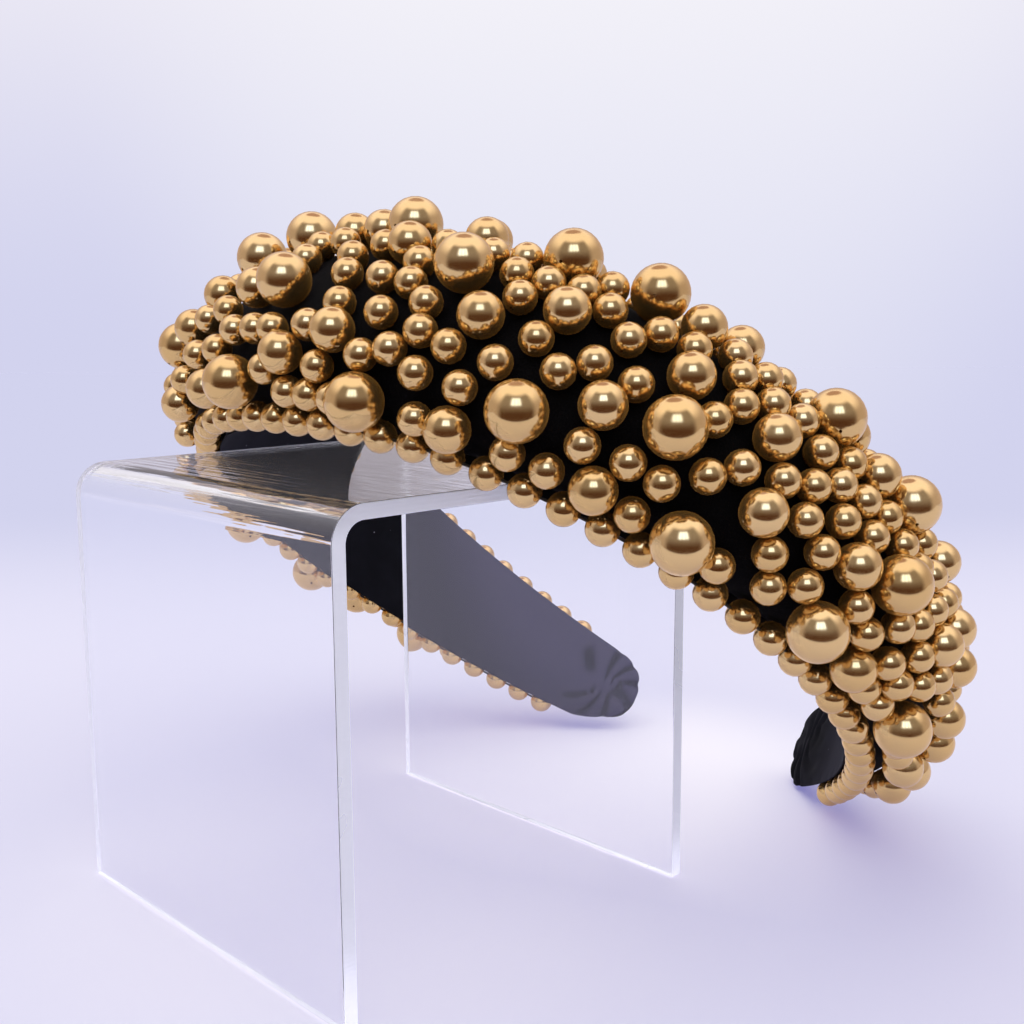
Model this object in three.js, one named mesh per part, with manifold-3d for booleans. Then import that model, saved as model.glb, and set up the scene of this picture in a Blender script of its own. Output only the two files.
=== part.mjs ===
// Padded velvet headband sewn all over with round gold beads of three sizes, resting on a clear riser.
// Millimetres, +Z up. +X runs from the crown of the band to its tips, the near arm lies on the -Y side.

import * as THREE from 'three';
import { mergeVertices } from 'three/addons/utils/BufferGeometryUtils.js';
import Module from 'manifold-3d';

const wasm = await Module();
wasm.setup();

const rad = THREE.MathUtils.degToRad;

// Place of the riser's middle, so that the whole object stands centred on the origin
const placeX = -36.9;
const placeY = 1.3;

// Clear riser: one sheet bent to an upside-down U
const riserSize = 88;
const riserSheet = 2.8;
const riserBend = 6.5;
const bendSteps = 6;

// Way of the band: an arc over the crown, then two more arcs down each arm
const crownRadius = 108;
const crownTurn = rad(12.4);
const shoulderRadius = 67.2;
const shoulderTurn = rad(94.2);
const armRadius = 129;
const halfLength = 216;

// Rest of the band on the riser
const crownX = -0.4;
const crownY = -0.9;
const crownZ = 110.55;
const bandYaw = rad(0.5);
const bandTilt = rad(42.4);
const bandRoll = rad(1.2);
const bandFlare = rad(7.25);

// Section of the band
const crownWidth = 48.2;
const tipWidth = 21.3;
const widthTaper = 1.43;
const crownHeight = 17.5;
const tipHeight = 4.0;
const heightTaper = 3;
const domePower = 0.8;
const tipRound = 11;
const tipPower = 2.5;
const tipLeast = 0.3;
const liningThick = 1.3;
const seam = 0.3;
const liningInset = 0.3;

// Beads
const beadRadius = { L: 5.3, M: 4.1, S: 3.05 };
const edgeLift = 4.7;
const edgeStop = 20;
const sewnStop = 24;
const threadRadius = 0.5;
const fitShare = 0.93;
const settleSteps = 60;
const settlePace = 0.8;
const settleGap = 0.1;

// Bead chart read from the outer side: a row for each course along the band. across runs from -1 at the
// front edge to 1 at the back edge. Each bead is its size and its length from the crown, positive on the
// near arm.
const chart = [
  { across: 0.5, beads: 'M-8 M2 L8 M26 L40 L51 M62' },
  { across: 0.42, beads: 'L-18 S29 S33 S48 L84' },
  { across: 0.34, beads: 'S-10 S-4 S20 S46 S74 S80 S88 M93 L101' },
  { across: 0.27, beads: 'S10 M15 S62 S70 S77 S108' },
  { across: 0.22, beads: 'L-26 S36 S41 S49 S57 S84' },
  { across: 0.14, beads: 'S-36 S-8 S5 S20 L29 S39 M46 S55 M63 S70 M77 S88 S92 S97 S102 S107 S112 S118' },
  { across: 0.14, beads: 'M123' },
  { across: 0.02, beads: 'M-33 S8 S16 S22 S69 S85 S90 S96 S113 M130' },
  { across: -0.05, beads: 'M-13 L-3 S27 M36 S44 S52 S58 S80 L103 S112 M118' },
  { across: -0.15, beads: 'L-49 M-38 S-30 S-21 S12 S21 S49 L65 S74 S86 M95 S109 S125 S132 M140' },
  { across: -0.24, beads: 'S28 S34 S41 M56 S72 M80 S90 S116 M150' },
  { across: -0.32, beads: 'S-13 S-6 S-1 S7 M14 S26 S99 S121' },
  { across: -0.44, beads: 'S-27 S-18 M5 S22 S31 S38 L47 S56 S62 S67 S84 S91 S104 S111 S117 M158' },
  { across: -0.58, beads: 'S-36 S-1 S12 S87 L96 M107 L126 M149 M170' },
  { across: -0.66, beads: 'L-9 L22 M60 L74 S114 S119 S137 S145' },
  { across: -0.73, beads: 'M-40 M-22 S5 S11 S16 S32 M38 S47 S53 S66 S79' },
];

// Repeats of the chart over the rest of the band: the part of the chart that each takes, the way it runs
// along the band, how far on it starts and the way it runs across
const repeats = [
  { part: 'front', run: -1, start: 0, slope: -1 },
  { part: 'front', run: 1, start: 30, slope: -1 },
  { part: 'arm', run: 1, start: 92, slope: 1 },
  { part: 'arm', run: -1, start: -28, slope: 1 },
  { part: 'arm', run: -1, start: -96, slope: -1 },
];
const frontShare = -0.4;
const armStart = 20;

// Where a repeated bead may be larger than a small one: a stretch of the far arm, and the back slope
const farStretch = { start: -170, end: -95 };
const backShare = 0.35;
const backLargeEnd = 90;

const bandAlong = new THREE.Vector3(
  Math.cos(bandYaw) * Math.cos(bandTilt),
  Math.sin(bandYaw) * Math.cos(bandTilt),
  -Math.sin(bandTilt),
);
const levelSide = new THREE.Vector3(-Math.sin(bandYaw), Math.cos(bandYaw), 0);
const levelUp = new THREE.Vector3().crossVectors(bandAlong, levelSide);
const bandSide = levelSide.clone()
  .multiplyScalar(Math.cos(bandRoll))
  .addScaledVector(levelUp, Math.sin(bandRoll));
const bandUp = new THREE.Vector3().crossVectors(bandAlong, bandSide);
const crownPoint = new THREE.Vector3(placeX + crownX, placeY + crownY, crownZ);

// Point and turn of the band's inner line at a length from the crown, from the three arcs
function innerLine(length) {
  const crownEnd = crownRadius * crownTurn;
  const shoulderEnd = crownEnd + shoulderRadius * shoulderTurn;
  const a = Math.min(length, crownEnd) / crownRadius;
  const b = Math.min(Math.max(length - crownEnd, 0), shoulderEnd - crownEnd) / shoulderRadius;
  const c = Math.max(length - shoulderEnd, 0) / armRadius;
  const bStart = crownTurn;
  const cStart = crownTurn + shoulderTurn;
  const along = crownRadius * (1 - Math.cos(a))
    + shoulderRadius * (Math.cos(bStart) - Math.cos(bStart + b))
    + armRadius * (Math.cos(cStart) - Math.cos(cStart + c));
  const side = crownRadius * Math.sin(a)
    + shoulderRadius * (Math.sin(bStart + b) - Math.sin(bStart))
    + armRadius * (Math.sin(cStart + c) - Math.sin(cStart));
  return { along, side, turn: a + b + c };
}

function bandWidth(length) {
  return tipWidth + (crownWidth - tipWidth) * (1 - (length / halfLength) ** widthTaper);
}

function bandHeight(length) {
  return tipHeight + (crownHeight - tipHeight) * (1 - (length / halfLength) ** heightTaper);
}

// Narrowing of the last stretch to a rounded tip
function tipShare(length) {
  const past = Math.max(length - (halfLength - tipRound), 0) / tipRound;
  return Math.max((1 - Math.min(past, 1) ** tipPower) ** (1 / tipPower), tipLeast);
}

// World point at a length along the band, a distance across it and a height out from the inner face
function bandPoint(length, across, out) {
  const arm = length < 0 ? 1 : -1;
  const line = innerLine(Math.abs(length));
  const lean = out - across * Math.sin(bandFlare);
  const along = line.along - Math.cos(line.turn) * lean;
  const side = (line.side + Math.sin(line.turn) * lean) * arm;
  return crownPoint.clone()
    .addScaledVector(bandAlong, along)
    .addScaledVector(bandSide, side)
    .addScaledVector(bandUp, across * Math.cos(bandFlare));
}

const padBase = liningThick + seam;

// Point over the padded dome: share from -1 at the front foot to 1 at the back foot, lift along its normal
function domePoint(length, share, lift) {
  const reach = Math.abs(length);
  const round = tipShare(reach);
  const half = (bandWidth(reach) / 2 - beadRadius.S - seam) * round;
  const rise = (bandHeight(reach) - padBase) * round;
  const sin = Math.sin(share * Math.PI / 2);
  const cos = Math.max(Math.cos(share * Math.PI / 2), 0);
  const acrossNormal = Math.sign(sin) * Math.abs(sin) ** (2 - domePower) / half;
  const outNormal = cos ** (2 - domePower) / rise;
  const norm = Math.hypot(acrossNormal, outNormal);
  const across = half * Math.sign(sin) * Math.abs(sin) ** domePower + lift * acrossNormal / norm;
  const out = padBase + rise * cos ** domePower + lift * outNormal / norm;
  return bandPoint(length, across, out);
}

function edgePoint(length, edge) {
  return bandPoint(length, edge * bandWidth(Math.abs(length)) / 2, edgeLift);
}

// Stations along the band, closer together towards the tips
function station(share) {
  return halfLength * Math.sin(share * Math.PI / 2);
}

function closed(geometry) {
  geometry.deleteAttribute('normal');
  geometry.deleteAttribute('uv');
  return mergeVertices(geometry, 1e-4);
}

function mapped(geometry, toPoint) {
  const position = geometry.attributes.position;
  const vertex = new THREE.Vector3();
  for (let i = 0; i < position.count; i += 1) {
    vertex.fromBufferAttribute(position, i);
    const point = toPoint(vertex);
    position.setXYZ(i, point.x, point.y, point.z);
  }
  return closed(geometry);
}

function solid(geometry) {
  const merged = closed(geometry);
  const vertProperties = new Float32Array(merged.attributes.position.array);
  const triVerts = new Uint32Array(merged.index.array);
  return new wasm.Manifold(new wasm.Mesh({ numProp: 3, vertProperties, triVerts }));
}

function fromSolid(manifold) {
  const mesh = manifold.getMesh();
  const geometry = new THREE.BufferGeometry();
  geometry.setAttribute('position', new THREE.BufferAttribute(new Float32Array(mesh.vertProperties), 3));
  geometry.setIndex(new THREE.BufferAttribute(new Uint32Array(mesh.triVerts), 1));
  return geometry;
}

// Riser: the bent profile drawn in the X Z plane and drawn out along Y
function riserGeometry() {
  const half = riserSize / 2;
  const inner = half - riserSheet;
  const bend = riserBend - riserSheet;
  const profile = new THREE.Shape();
  profile.moveTo(-half, 0);
  profile.lineTo(-inner, 0);
  profile.lineTo(-inner, riserSize - riserBend);
  profile.absarc(-half + riserBend, riserSize - riserBend, bend, Math.PI, Math.PI / 2, true);
  profile.lineTo(half - riserBend, riserSize - riserSheet);
  profile.absarc(half - riserBend, riserSize - riserBend, bend, Math.PI / 2, 0, true);
  profile.lineTo(inner, 0);
  profile.lineTo(half, 0);
  profile.lineTo(half, riserSize - riserBend);
  profile.absarc(half - riserBend, riserSize - riserBend, riserBend, 0, Math.PI / 2, false);
  profile.lineTo(-half + riserBend, riserSize);
  profile.absarc(-half + riserBend, riserSize - riserBend, riserBend, Math.PI / 2, Math.PI, false);
  profile.closePath();
  const drawnOut = { depth: riserSize, bevelEnabled: false, curveSegments: bendSteps };
  const geometry = new THREE.ExtrudeGeometry(profile, drawnOut);
  geometry.translate(0, 0, -half);
  geometry.rotateX(Math.PI / 2);
  return closed(geometry);
}

// Padded velvet: a tube of sections whose upper part follows the dome and whose under side lies flat
const padSteps = 56;
const domeSteps = 12;
const underSteps = 6;

function padGeometry() {
  const around = domeSteps + underSteps;
  const tube = new THREE.CylinderGeometry(1, 1, 2, around, padSteps);
  return mapped(tube, (vertex) => {
    const length = station(vertex.y);
    if (Math.hypot(vertex.x, vertex.z) < 0.5) {
      return bandPoint(length, 0, padBase + (bandHeight(halfLength) - padBase) * 0.15);
    }
    const turn = (Math.atan2(vertex.x, vertex.z) / (2 * Math.PI) + 1) % 1;
    const step = Math.round(turn * around);
    if (step <= domeSteps) {
      return domePoint(length, 1 - 2 * step / domeSteps, 0);
    }
    return domeFoot(length, -1 + 2 * (step - domeSteps) / underSteps);
  });
}

function domeFoot(length, share) {
  const reach = Math.abs(length);
  const half = (bandWidth(reach) / 2 - beadRadius.S - seam) * tipShare(reach);
  return bandPoint(length, half * share, padBase);
}

// Lining: a flat strip under the padding that reaches out below the edge strings
function liningGeometry() {
  const strip = new THREE.BoxGeometry(2, 2, 2, padSteps, 2, 1);
  return mapped(strip, (vertex) => {
    const length = station(vertex.x);
    const reach = Math.abs(length);
    const half = (bandWidth(reach) / 2 - liningInset) * tipShare(reach);
    return bandPoint(length, half * vertex.y, vertex.z < 0 ? 0 : liningThick);
  });
}

// Edge string: its beads' outer tube along one long edge
const edgeSteps = 50;
const tubeSides = 8;

function edgeGeometry(edge) {
  const end = halfLength - edgeStop;
  const points = [];
  for (let i = 0; i <= edgeSteps; i += 1) {
    points.push(edgePoint(end * (2 * i / edgeSteps - 1), edge));
  }
  const path = new THREE.CatmullRomCurve3(points);
  const ring = new THREE.Shape();
  for (let i = 0; i < tubeSides; i += 1) {
    const angle = 2 * Math.PI * i / tubeSides;
    const x = beadRadius.S * Math.cos(angle);
    const y = beadRadius.S * Math.sin(angle);
    if (i === 0) {
      ring.moveTo(x, y);
    } else {
      ring.lineTo(x, y);
    }
  }
  ring.closePath();
  const drawnOut = { steps: edgeSteps, bevelEnabled: false, extrudePath: path };
  return closed(new THREE.ExtrudeGeometry(ring, drawnOut));
}

function beadCentre(bead) {
  return domePoint(bead.length, bead.across, beadRadius[bead.size] + seam);
}

function chartedBeads() {
  const beads = [];
  for (const course of chart) {
    for (const token of course.beads.split(' ')) {
      beads.push({ size: token[0], length: Number(token.slice(1)), across: course.across });
    }
  }
  return beads;
}

// Repeated beads, the larger ones first
function repeatedBeads(charted) {
  const parts = {
    front: charted.filter((bead) => bead.across < frontShare),
    arm: charted.filter((bead) => bead.length > armStart),
  };
  const beads = [];
  for (const repeat of repeats) {
    for (const bead of parts[repeat.part]) {
      const length = repeat.run * bead.length + repeat.start;
      beads.push({ size: bead.size, length, across: repeat.slope * bead.across });
    }
  }
  const order = 'LMS';
  return beads.sort((one, other) => order.indexOf(one.size) - order.indexOf(other.size)
    || one.length - other.length || one.across - other.across);
}

function mayRepeat(bead) {
  const onBand = Math.abs(bead.length) <= halfLength - sewnStop;
  const onFarStretch = bead.length > farStretch.start && bead.length < farStretch.end;
  const onBackSlope = bead.across > backShare && (bead.size === 'M' || bead.length < backLargeEnd);
  return onBand && (bead.size === 'S' || onFarStretch || onBackSlope);
}

// All the sewn beads: the chart, then its repeats wherever a bead still fits
function sewnBeads() {
  const beads = chartedBeads();
  const centres = beads.map(beadCentre);
  for (const bead of repeatedBeads(beads).filter(mayRepeat)) {
    const centre = beadCentre(bead);
    const fits = beads.every((other, i) => centre.distanceTo(centres[i])
      >= fitShare * (beadRadius[bead.size] + beadRadius[other.size]));
    if (fits) {
      beads.push(bead);
      centres.push(centre);
    }
  }
  settle(beads);
  return beads;
}

// Beads that still press on one another, or on an edge string, move apart over the dome
function settle(beads) {
  const small = 0.01;
  for (let step = 0; step < settleSteps; step += 1) {
    const centres = beads.map(beadCentre);
    const shifts = beads.map(() => new THREE.Vector3());
    for (let i = 0; i < beads.length; i += 1) {
      for (let j = i + 1; j < beads.length; j += 1) {
        const apart = new THREE.Vector3().subVectors(centres[i], centres[j]);
        const press = beadRadius[beads[i].size] + beadRadius[beads[j].size] + settleGap - apart.length();
        if (press > 0) {
          apart.setLength(press / 2);
          shifts[i].add(apart);
          shifts[j].sub(apart);
        }
      }
      const edge = Math.sign(beads[i].across);
      const away = new THREE.Vector3().subVectors(centres[i], edgePoint(beads[i].length, edge));
      const crowd = beadRadius[beads[i].size] + beadRadius.S + seam + settleGap - away.length();
      if (crowd > 0) {
        shifts[i].add(away.setLength(crowd));
      }
    }
    beads.forEach((bead, i) => {
      const further = { ...bead, length: bead.length + small };
      const higher = { ...bead, across: bead.across + small };
      const onward = beadCentre(further).sub(centres[i]).divideScalar(small);
      const upward = beadCentre(higher).sub(centres[i]).divideScalar(small);
      bead.length += settlePace * shifts[i].dot(onward) / onward.lengthSq();
      bead.across += settlePace * shifts[i].dot(upward) / upward.lengthSq();
    });
  }
}

// One body of beads: each larger bead is tied by a thread to the nearest one already tied
function beadField(beads) {
  const centres = beads.map(beadCentre);
  let body = null;
  const tied = [];
  const loose = beads.map((bead, i) => i);
  while (loose.length > 0) {
    let best = { gap: Infinity, from: -1, to: loose[0] };
    for (const from of tied) {
      for (const to of loose) {
        const gap = centres[from].distanceTo(centres[to]);
        if (gap < best.gap) {
          best = { gap, from, to };
        }
      }
    }
    const ball = new THREE.IcosahedronGeometry(beadRadius[beads[best.to].size], 1);
    ball.translate(centres[best.to].x, centres[best.to].y, centres[best.to].z);
    body = body === null ? solid(ball) : body.add(solid(ball));
    if (best.from >= 0) {
      body = body.add(solid(threadGeometry(centres[best.from], centres[best.to])));
    }
    tied.push(best.to);
    loose.splice(loose.indexOf(best.to), 1);
  }
  return fromSolid(body);
}

function threadGeometry(start, end) {
  const way = new THREE.Vector3().subVectors(end, start);
  const thread = new THREE.CylinderGeometry(threadRadius, threadRadius, way.length(), 3, 1);
  const upright = new THREE.Vector3(0, 1, 0);
  thread.applyQuaternion(new THREE.Quaternion().setFromUnitVectors(upright, way.clone().normalize()));
  thread.translate((start.x + end.x) / 2, (start.y + end.y) / 2, (start.z + end.z) / 2);
  return thread;
}

const acrylic = new THREE.MeshStandardMaterial({ color: 0xe6e6f4, roughness: 0.05, metalness: 0 });
const velvet = new THREE.MeshStandardMaterial({ color: 0x0d0d12, roughness: 0.95, metalness: 0 });
const liningCloth = new THREE.MeshStandardMaterial({ color: 0x2b2b33, roughness: 0.9, metalness: 0 });
const gold = new THREE.MeshStandardMaterial({ color: 0xc79a5a, roughness: 0.12, metalness: 1 });

const group = new THREE.Group();

function addPiece(name, geometry, material) {
  const mesh = new THREE.Mesh(geometry, material);
  mesh.name = name;
  group.add(mesh);
  return mesh;
}

const riser = addPiece('display_riser', riserGeometry(), acrylic);
riser.position.set(placeX, placeY, 0);

addPiece('velvet_pad', padGeometry(), velvet);
addPiece('lining', liningGeometry(), liningCloth);
addPiece('front_edge_string', edgeGeometry(-1), gold);
addPiece('back_edge_string', edgeGeometry(1), gold);

const larger = sewnBeads().filter((bead) => bead.size !== 'S');
addPiece('near_arm_beads', beadField(larger.filter((bead) => bead.length >= 0)), gold);
addPiece('far_arm_beads', beadField(larger.filter((bead) => bead.length < 0)), gold);

export default group;
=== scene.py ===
"""Padded velvet headband sewn over with gold beads, propped on a clear bent riser. Metres, +Z up."""

import math

import bpy
import numpy as np
from bpy.props import FloatProperty, FloatVectorProperty, IntProperty, PointerProperty
from mathutils import Matrix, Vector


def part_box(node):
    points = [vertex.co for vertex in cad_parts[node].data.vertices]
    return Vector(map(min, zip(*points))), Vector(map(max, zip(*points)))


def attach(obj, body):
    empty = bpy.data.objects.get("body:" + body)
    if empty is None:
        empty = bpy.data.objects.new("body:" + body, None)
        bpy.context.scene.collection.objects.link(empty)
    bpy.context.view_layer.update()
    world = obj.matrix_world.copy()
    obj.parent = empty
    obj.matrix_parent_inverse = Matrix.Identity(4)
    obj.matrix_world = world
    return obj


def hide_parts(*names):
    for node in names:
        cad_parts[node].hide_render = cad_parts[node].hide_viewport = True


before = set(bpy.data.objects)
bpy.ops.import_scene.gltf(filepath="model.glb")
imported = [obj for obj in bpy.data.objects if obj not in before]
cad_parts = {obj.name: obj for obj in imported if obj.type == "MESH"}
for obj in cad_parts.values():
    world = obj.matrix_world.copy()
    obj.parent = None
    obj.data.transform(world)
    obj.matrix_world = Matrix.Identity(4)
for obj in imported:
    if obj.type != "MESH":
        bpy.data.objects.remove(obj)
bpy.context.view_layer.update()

bl_info = {
    "name": "Beaded Headband",
    "version": (1, 0, 0),
    "blender": (4, 5, 0),
    "location": "View3D > Sidebar > Headband",
    "description": "Builds a padded velvet headband with sewn gold beads on a clear riser",
    "category": "Add Mesh",
}

# Way of the band: an arc over the crown, then two more arcs down each arm
RISER_LOW, RISER_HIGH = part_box("display_riser")
PLACE = np.array([(RISER_LOW.x + RISER_HIGH.x) / 2, (RISER_LOW.y + RISER_HIGH.y) / 2, 0.0])
CROWN_RADIUS = 0.108
CROWN_TURN = math.radians(12.4)
SHOULDER_RADIUS = 0.0672
SHOULDER_TURN = math.radians(94.2)
ARM_RADIUS = 0.129
HALF_LENGTH = 0.216

# Rest of the band on the riser
CROWN_POINT = PLACE + np.array([-0.0004, -0.0009, 0.11055])
BAND_YAW = math.radians(0.5)
BAND_TILT = math.radians(42.4)
BAND_ROLL = math.radians(1.2)
BAND_FLARE = math.radians(7.25)

# Section of the band
CROWN_WIDTH = 0.0482
TIP_WIDTH = 0.0213
WIDTH_TAPER = 1.43
CROWN_HEIGHT = 0.0175
TIP_HEIGHT = 0.0040
HEIGHT_TAPER = 3
DOME_POWER = 0.8
TIP_ROUND = 0.011
TIP_POWER = 2.5
TIP_LEAST = 0.02
DOME_LEAST = 0.3
LINING_THICK = 0.0013
SEAM = 0.0003
LINING_INSET = 0.0003
PAD_BASE = LINING_THICK + SEAM

# Beads
BEAD_RADIUS = {"L": 0.0053, "M": 0.0041, "S": 0.00305}
EDGE_LIFT = 0.0047
STRUNG_DROP = 0.0009
STRUNG_DROP_RUN = (0.030, 0.055)
FAR_TUCK = 0.0007
EDGE_STOP = 0.020
SEWN_STOP = 0.024
FIT_SHARE = 0.93
SETTLE_STEPS = 60
SETTLE_PACE = 0.8
SETTLE_GAP = 0.0001
CHART_UNIT = 0.001
TINY = 1e-9

# Bead chart read from the outer side: a row for each course along the band. The first value runs across
# from -1 at the front edge to 1 at the back edge. Each bead is its size and its length from the crown in
# millimetres.
CHART = (
    (0.5, "M-8 M2 L8 M26 L40 L51 M62"),
    (0.42, "L-18 S29 S33 S48 L84"),
    (0.34, "S-10 S-4 S20 S46 S74 S80 S88 M93 L101"),
    (0.27, "S10 M15 S62 S70 S77 S108"),
    (0.22, "L-26 S36 S41 S49 S57 S84"),
    (0.14, "S-36 S-8 S5 S20 L29 S39 M46 S55 M63 S70 M77 S88 S92 S97 S102 S107 S112 S118"),
    (0.14, "M123"),
    (0.02, "M-33 S8 S16 S22 S69 S85 S90 S96 S113 M130"),
    (-0.05, "M-13 L-3 S27 M36 S44 S52 S58 S80 L103 S112 M118"),
    (-0.15, "L-49 M-38 S-30 S-21 S12 S21 S49 L65 S74 S86 M95 S109 S125 S132 M140"),
    (-0.24, "S28 S34 S41 M56 S72 M80 S90 S116 M150"),
    (-0.32, "S-13 S-6 S-1 S7 M14 S26 S99 S121"),
    (-0.44, "S-27 S-18 M5 S22 S31 S38 L47 S56 S62 S67 S84 S91 S104 S111 S117 M158"),
    (-0.58, "S-36 S-1 S12 S87 L96 M107 L126 M149 M170"),
    (-0.66, "L-9 L22 M60 L74 S114 S119 S137 S145"),
    (-0.73, "M-40 M-22 S5 S11 S16 S32 M38 S47 S53 S66 S79"),
)

# Repeats of the chart over the rest of the band: the part of the chart that each takes, the way it runs
# along the band, how far on it starts and the way it runs across
REPEATS = (
    {"part": "front", "run": -1, "start": 0.0, "slope": -1},
    {"part": "front", "run": 1, "start": 0.030, "slope": -1},
    {"part": "arm", "run": 1, "start": 0.092, "slope": 1},
    {"part": "arm", "run": -1, "start": -0.028, "slope": 1},
    {"part": "arm", "run": -1, "start": -0.096, "slope": -1},
)
FRONT_SHARE = -0.4
ARM_START = 0.020

# Where a repeated bead may be larger than a small one: a stretch of the far arm, and the back slope
FAR_STRETCH = (-0.170, -0.095)
BACK_SHARE = 0.35
BACK_LARGE_END = 0.090

# View of the camera
CAMERA_PLACE = PLACE + np.array([-0.1593, -0.2037, 0.1165])
CAMERA_YAW = math.radians(44.02)
CAMERA_PITCH = math.radians(8.59)
CAMERA_ROLL = math.radians(0.36)
FOCAL_PIXELS = 1274.8
IMAGE_PIXELS = 1024
SENSOR_MM = 36.0


class HeadbandBeadSettings(bpy.types.PropertyGroup):
    """Sizes and finish of the gold beads."""

    string_pitch: FloatProperty(
        name="String pitch", description="Distance from bead to bead along an edge string",
        default=0.0072, min=0.0061, unit="LENGTH")
    string_spread: FloatProperty(
        name="String spread", description="How far a strung bead may sit from its even place",
        default=0.00015, min=0.0, unit="LENGTH")
    hole_radius: FloatProperty(
        name="Hole radius", description="Radius of the drilled hole through each bead",
        default=0.0003, min=0.0001, unit="LENGTH")
    gold: FloatVectorProperty(
        name="Gold", description="Colour of the plating",
        default=(0.775, 0.54, 0.25), size=3, subtype="COLOR")
    gold_deep: FloatVectorProperty(
        name="Deep gold", description="Colour of the darkest beads",
        default=(0.72, 0.48, 0.20), size=3, subtype="COLOR")
    seed: IntProperty(name="Seed", description="Seed of the small differences from bead to bead", default=7)


class HeadbandClothSettings(bpy.types.PropertyGroup):
    """Relief and colours of the velvet and the lining."""

    bulge: FloatProperty(
        name="Bulge", description="How far the velvet swells between the sewn beads",
        default=0.0007, min=0.0, unit="LENGTH")
    gather: FloatProperty(
        name="Gather", description="Depth of the gathers where the cloth is drawn in at the tips",
        default=0.0008, min=0.0, unit="LENGTH")
    velvet: FloatVectorProperty(
        name="Velvet", description="Colour of the pile",
        default=(0.0016, 0.0014, 0.0016), size=3, subtype="COLOR")
    lining: FloatVectorProperty(
        name="Lining", description="Colour of the lining",
        default=(0.0032, 0.0032, 0.0050), size=3, subtype="COLOR")
    # Painted light: the far arm of the lining turns this colour towards its tip
    painted_lining_light: FloatVectorProperty(
        name="Light nap", description="Colour of the lining where its nap catches the light",
        default=(0.055, 0.049, 0.095), size=3, subtype="COLOR")


class HeadbandRiserSettings(bpy.types.PropertyGroup):
    """Sizes and clearness of the riser."""

    sheet: FloatProperty(
        name="Sheet", description="Thickness of the clear sheet", default=0.0028, min=0.001, unit="LENGTH")
    bend: FloatProperty(
        name="Bend", description="Outer radius of the two bends", default=0.0065, min=0.003, unit="LENGTH")
    edge_break: FloatProperty(
        name="Edge break", description="Width of the broken edges", default=0.00025, min=0.0, unit="LENGTH")
    tint: FloatVectorProperty(
        name="Tint", description="Colour of the clear sheet",
        default=(0.97, 0.975, 1.0), size=3, subtype="COLOR")
    sawn: FloatVectorProperty(
        name="Sawn edge", description="Colour of the sawn edges",
        default=(0.86, 0.86, 1.0), size=3, subtype="COLOR")
    # Painted light: the sawn edges glow by this strength, though they are no lamp
    edge_glow: FloatProperty(
        name="Edge glow", description="Light led through the sheet to its sawn edges", default=0.33, min=0.0)


class HeadbandStageSettings(bpy.types.PropertyGroup):
    """Floor and soft light round the headband."""

    floor: FloatVectorProperty(
        name="Floor", description="Brightness of the floor under the headband", default=(0.81, 0.79, 0.96),
        size=3, subtype="COLOR")
    pool: FloatVectorProperty(
        name="Light pool", description="Brightness of the floor in the middle of the light",
        default=(1.10, 1.05, 1.12), size=3, soft_max=1.3, subtype="COLOR")
    front_floor: FloatVectorProperty(
        name="Front floor", description="Brightness of the floor at the front", default=(0.815, 0.795, 0.965),
        size=3, subtype="COLOR")
    low_light: FloatVectorProperty(
        name="Low light", description="Brightness of the far floor and the horizon",
        default=(0.645, 0.65, 0.855), size=3, subtype="COLOR")
    high_light: FloatVectorProperty(
        name="High light", description="Light from overhead",
        default=(0.96, 0.925, 0.945), size=3, subtype="COLOR")
    floor_glow: FloatProperty(
        name="Floor glow", description="Share of the floor's light that shines up through it", default=0.12,
        min=0.0, max=1.0, subtype="FACTOR")
    shade_tint: FloatVectorProperty(
        name="Shade tint", description="Tint of the light that is left in the shadows",
        default=(1.0, 1.0, 3.1), size=3)


# Shape of the band

def band_axes():
    """Unit vectors along the band's plane, across it and up from it, from the yaw, tilt and roll."""
    along = np.array([
        math.cos(BAND_YAW) * math.cos(BAND_TILT),
        math.sin(BAND_YAW) * math.cos(BAND_TILT),
        -math.sin(BAND_TILT)])
    level_side = np.array([-math.sin(BAND_YAW), math.cos(BAND_YAW), 0.0])
    level_up = np.cross(along, level_side)
    side = level_side * math.cos(BAND_ROLL) + level_up * math.sin(BAND_ROLL)
    return along, side, np.cross(along, side)


BAND_ALONG, BAND_SIDE, BAND_UP = band_axes()


def inner_line(length):
    """Place and turn of the inner line at a length from the crown, over three arcs in a row."""
    crown_end = CROWN_RADIUS * CROWN_TURN
    shoulder_end = crown_end + SHOULDER_RADIUS * SHOULDER_TURN
    first = np.minimum(length, crown_end) / CROWN_RADIUS
    second = np.clip(length - crown_end, 0, shoulder_end - crown_end) / SHOULDER_RADIUS
    third = np.maximum(length - shoulder_end, 0) / ARM_RADIUS
    arm_start = CROWN_TURN + SHOULDER_TURN
    along = (CROWN_RADIUS * (1 - np.cos(first))
             + SHOULDER_RADIUS * (math.cos(CROWN_TURN) - np.cos(CROWN_TURN + second))
             + ARM_RADIUS * (math.cos(arm_start) - np.cos(arm_start + third)))
    side = (CROWN_RADIUS * np.sin(first)
            + SHOULDER_RADIUS * (np.sin(CROWN_TURN + second) - math.sin(CROWN_TURN))
            + ARM_RADIUS * (np.sin(arm_start + third) - math.sin(arm_start)))
    return along, side, first + second + third


def band_width(length):
    """Width of the band: crown width less a power of the share of the length."""
    return TIP_WIDTH + (CROWN_WIDTH - TIP_WIDTH) * (1 - (np.abs(length) / HALF_LENGTH) ** WIDTH_TAPER)


def band_height(length):
    """Height of the padding: crown height less a power of the share of the length."""
    return TIP_HEIGHT + (CROWN_HEIGHT - TIP_HEIGHT) * (1 - (np.abs(length) / HALF_LENGTH) ** HEIGHT_TAPER)


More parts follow.
